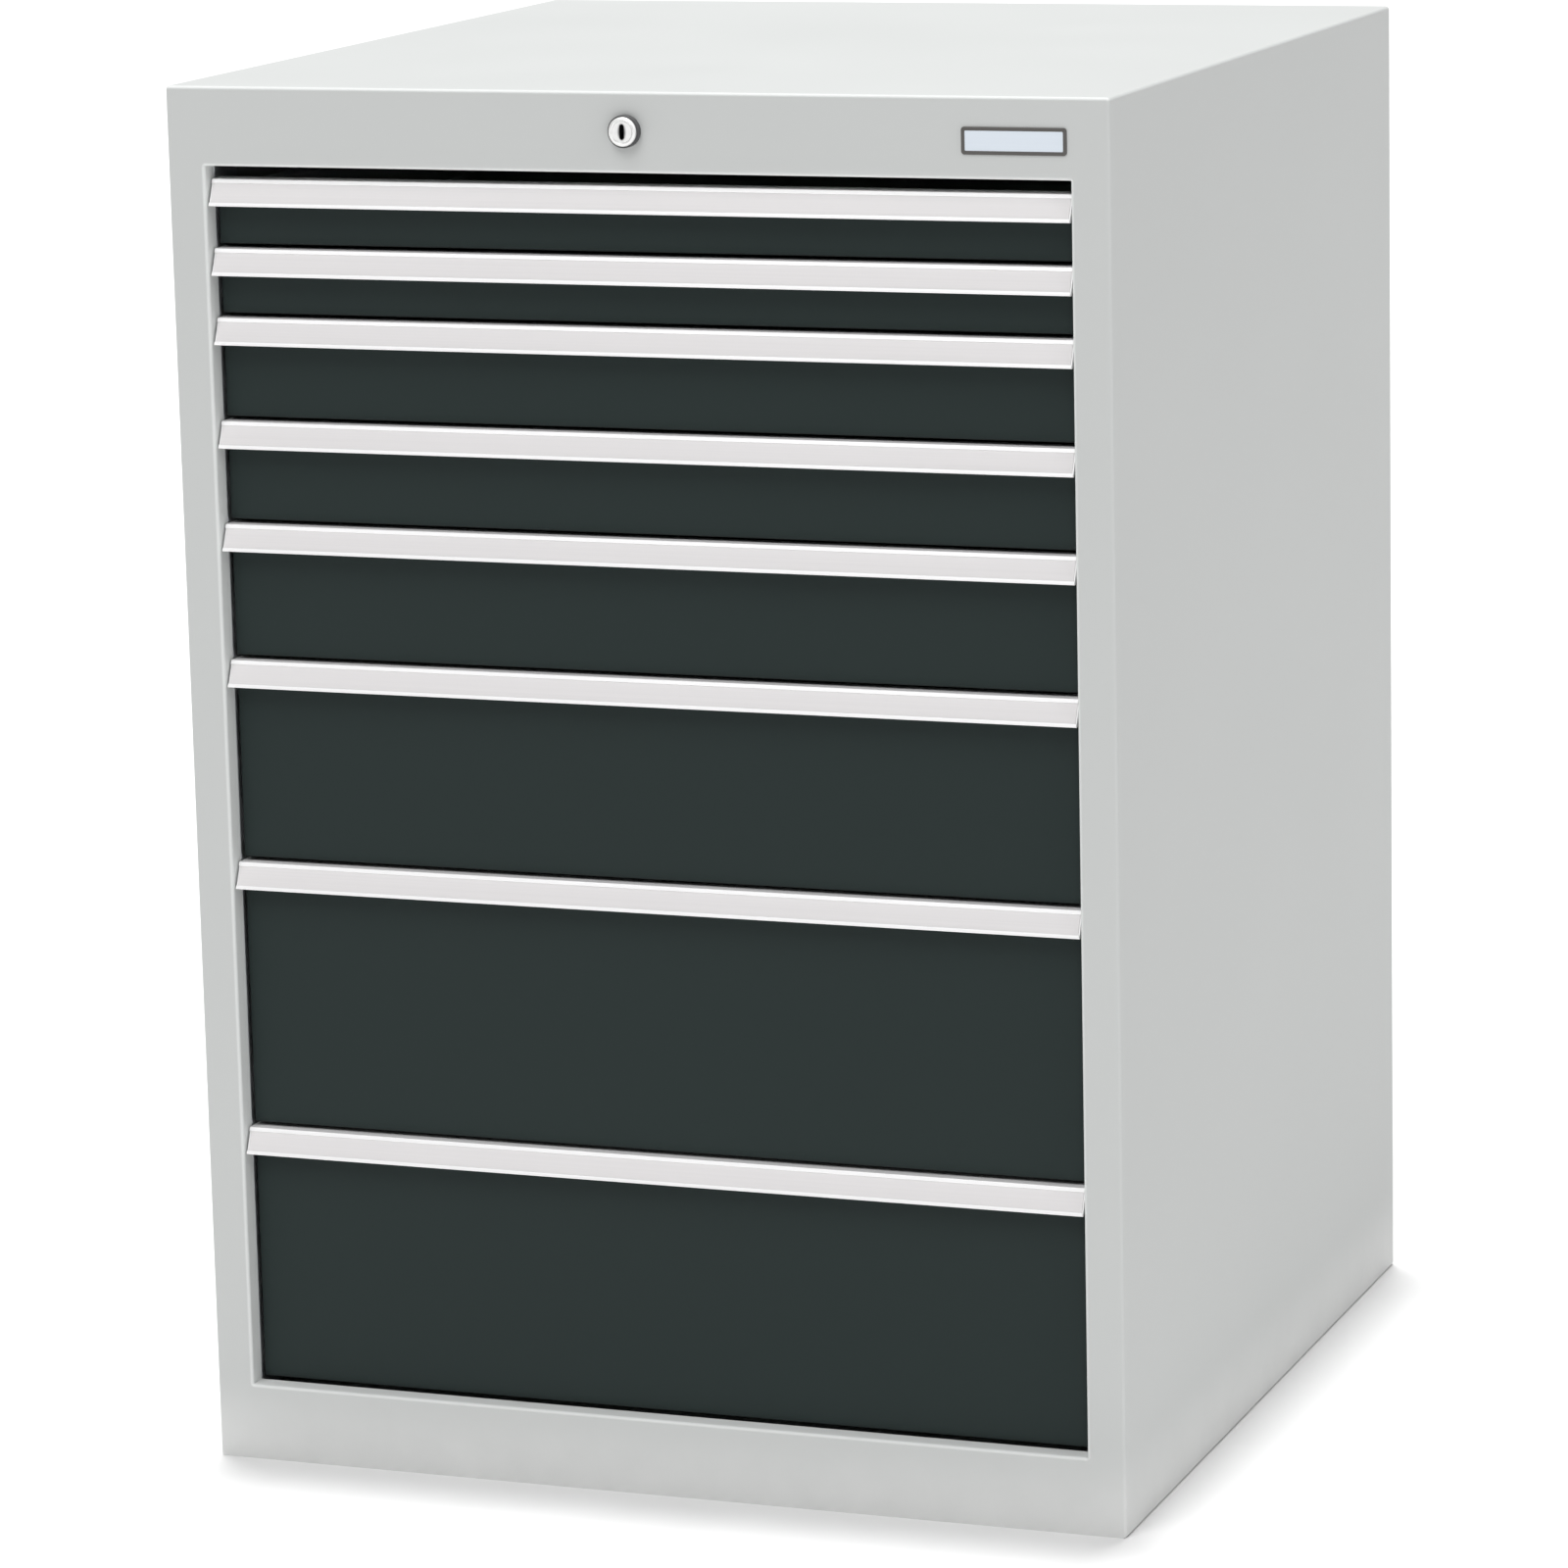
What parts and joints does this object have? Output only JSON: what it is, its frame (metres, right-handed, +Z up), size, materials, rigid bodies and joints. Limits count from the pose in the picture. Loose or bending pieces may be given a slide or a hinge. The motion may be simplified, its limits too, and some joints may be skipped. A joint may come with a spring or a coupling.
{
  "type": "drawer cabinet",
  "caption": "Free-standing steel workshop cabinet with full-width drawers on telescopic slides, slanted aluminium handle strips and a central lock.",
  "frame": {"origin": "middle of the footprint, on the floor, with the lock's rosette counted in the footprint", "axes": "+Z up, the drawer fronts face -Y, +X to the right of someone who faces the fronts"},
  "size_m": [0.705, 0.744, 1.019],
  "materials": {
    "housing_grey": "fine powder coat, satin",
    "tray_grey": "powder coat, satin",
    "front_anthracite": "powder coat, satin",
    "handle_aluminium": "natural anodised, matt",
    "zinc_steel": "bright zinc plated",
    "lock_nickel": "nickel plated",
    "plate_aluminium": "satin, blank"
  },
  "bodies": {
    "housing": {"left_side_panel": "housing_grey", "right_side_panel": "housing_grey", "top_panel": "housing_grey", "back_panel": "housing_grey", "lock_fascia": "housing_grey", "plinth": "housing_grey", "floor_pan": "housing_grey", "left_uprights": "zinc_steel", "right_uprights": "zinc_steel", "left_cabinet_rails": "zinc_steel", "right_cabinet_rails": "zinc_steel", "lock_housing": "lock_nickel", "lock_nut": "zinc_steel", "spindle_bearing": "zinc_steel", "lock_bar_guides": "zinc_steel", "name_plate": "plate_aluminium"},
    "drawer_1": {"drawer_1_tray": "tray_grey", "drawer_1_front": "front_anthracite", "drawer_1_handle": "handle_aluminium", "drawer_1_rails": "zinc_steel"},
    "runner_1": {"runner_1_middle_rails": "zinc_steel"},
    "drawer_2": {"drawer_2_tray": "tray_grey", "drawer_2_front": "front_anthracite", "drawer_2_handle": "handle_aluminium", "drawer_2_rails": "zinc_steel"},
    "runner_2": {"runner_2_middle_rails": "zinc_steel"},
    "drawer_3": {"drawer_3_tray": "tray_grey", "drawer_3_front": "front_anthracite", "drawer_3_handle": "handle_aluminium", "drawer_3_rails": "zinc_steel"},
    "runner_3": {"runner_3_middle_rails": "zinc_steel"},
    "drawer_4": {"drawer_4_tray": "tray_grey", "drawer_4_front": "front_anthracite", "drawer_4_handle": "handle_aluminium", "drawer_4_rails": "zinc_steel"},
    "runner_4": {"runner_4_middle_rails": "zinc_steel"},
    "drawer_5": {"drawer_5_tray": "tray_grey", "drawer_5_front": "front_anthracite", "drawer_5_handle": "handle_aluminium", "drawer_5_rails": "zinc_steel"},
    "runner_5": {"runner_5_middle_rails": "zinc_steel"},
    "drawer_6": {"drawer_6_tray": "tray_grey", "drawer_6_front": "front_anthracite", "drawer_6_handle": "handle_aluminium", "drawer_6_rails": "zinc_steel"},
    "runner_6": {"runner_6_middle_rails": "zinc_steel"},
    "drawer_7": {"drawer_7_tray": "tray_grey", "drawer_7_front": "front_anthracite", "drawer_7_handle": "handle_aluminium", "drawer_7_rails": "zinc_steel"},
    "runner_7": {"runner_7_middle_rails": "zinc_steel"},
    "drawer_8": {"drawer_8_tray": "tray_grey", "drawer_8_front": "front_anthracite", "drawer_8_handle": "handle_aluminium", "drawer_8_rails": "zinc_steel"},
    "runner_8": {"runner_8_middle_rails": "zinc_steel"},
    "lock_rotor": {"lock_cylinder": "lock_nickel", "lock_spindle": "zinc_steel", "lock_crank": "zinc_steel"},
    "lock_slider": {"lock_bar": "zinc_steel"}
  },
  "joints": [
    {"name": "drawer_1_slide", "type": "slide", "parent": "housing", "child": "drawer_1", "axis": [0, -1, 0], "range_m": [0, 0.6]},
    {"name": "runner_1_slide", "type": "slide", "parent": "housing", "child": "runner_1", "axis": [0, -1, 0], "range_m": [0, 0.3]},
    {"name": "drawer_2_slide", "type": "slide", "parent": "housing", "child": "drawer_2", "axis": [0, -1, 0], "range_m": [0, 0.6]},
    {"name": "runner_2_slide", "type": "slide", "parent": "housing", "child": "runner_2", "axis": [0, -1, 0], "range_m": [0, 0.3]},
    {"name": "drawer_3_slide", "type": "slide", "parent": "housing", "child": "drawer_3", "axis": [0, -1, 0], "range_m": [0, 0.6]},
    {"name": "runner_3_slide", "type": "slide", "parent": "housing", "child": "runner_3", "axis": [0, -1, 0], "range_m": [0, 0.3]},
    {"name": "drawer_4_slide", "type": "slide", "parent": "housing", "child": "drawer_4", "axis": [0, -1, 0], "range_m": [0, 0.6]},
    {"name": "runner_4_slide", "type": "slide", "parent": "housing", "child": "runner_4", "axis": [0, -1, 0], "range_m": [0, 0.3]},
    {"name": "drawer_5_slide", "type": "slide", "parent": "housing", "child": "drawer_5", "axis": [0, -1, 0], "range_m": [0, 0.6]},
    {"name": "runner_5_slide", "type": "slide", "parent": "housing", "child": "runner_5", "axis": [0, -1, 0], "range_m": [0, 0.3]},
    {"name": "drawer_6_slide", "type": "slide", "parent": "housing", "child": "drawer_6", "axis": [0, -1, 0], "range_m": [0, 0.6]},
    {"name": "runner_6_slide", "type": "slide", "parent": "housing", "child": "runner_6", "axis": [0, -1, 0], "range_m": [0, 0.3]},
    {"name": "drawer_7_slide", "type": "slide", "parent": "housing", "child": "drawer_7", "axis": [0, -1, 0], "range_m": [0, 0.6]},
    {"name": "runner_7_slide", "type": "slide", "parent": "housing", "child": "runner_7", "axis": [0, -1, 0], "range_m": [0, 0.3]},
    {"name": "drawer_8_slide", "type": "slide", "parent": "housing", "child": "drawer_8", "axis": [0, -1, 0], "range_m": [0, 0.6]},
    {"name": "runner_8_slide", "type": "slide", "parent": "housing", "child": "runner_8", "axis": [0, -1, 0], "range_m": [0, 0.3]},
    {"name": "lock_turn", "type": "hinge", "parent": "housing", "child": "lock_rotor", "pos_m": [0, -0.364, 0.9915], "axis": [0, 1, 0], "range_deg": [0, 90]},
    {"name": "lock_bar_slide", "type": "slide", "parent": "housing", "child": "lock_slider", "axis": [0, 0, -1], "range_m": [0, 0.012]}
  ],
  "couplings": [
    {"joint": "runner_1_slide", "follows": "drawer_1_slide", "ratio": 0.5},
    {"joint": "runner_2_slide", "follows": "drawer_2_slide", "ratio": 0.5},
    {"joint": "runner_3_slide", "follows": "drawer_3_slide", "ratio": 0.5},
    {"joint": "runner_4_slide", "follows": "drawer_4_slide", "ratio": 0.5},
    {"joint": "runner_5_slide", "follows": "drawer_5_slide", "ratio": 0.5},
    {"joint": "runner_6_slide", "follows": "drawer_6_slide", "ratio": 0.5},
    {"joint": "runner_7_slide", "follows": "drawer_7_slide", "ratio": 0.5},
    {"joint": "runner_8_slide", "follows": "drawer_8_slide", "ratio": 0.5},
    {"joint": "lock_turn", "follows": "lock_bar_slide", "rad_per_m": 130.89}
  ]
}
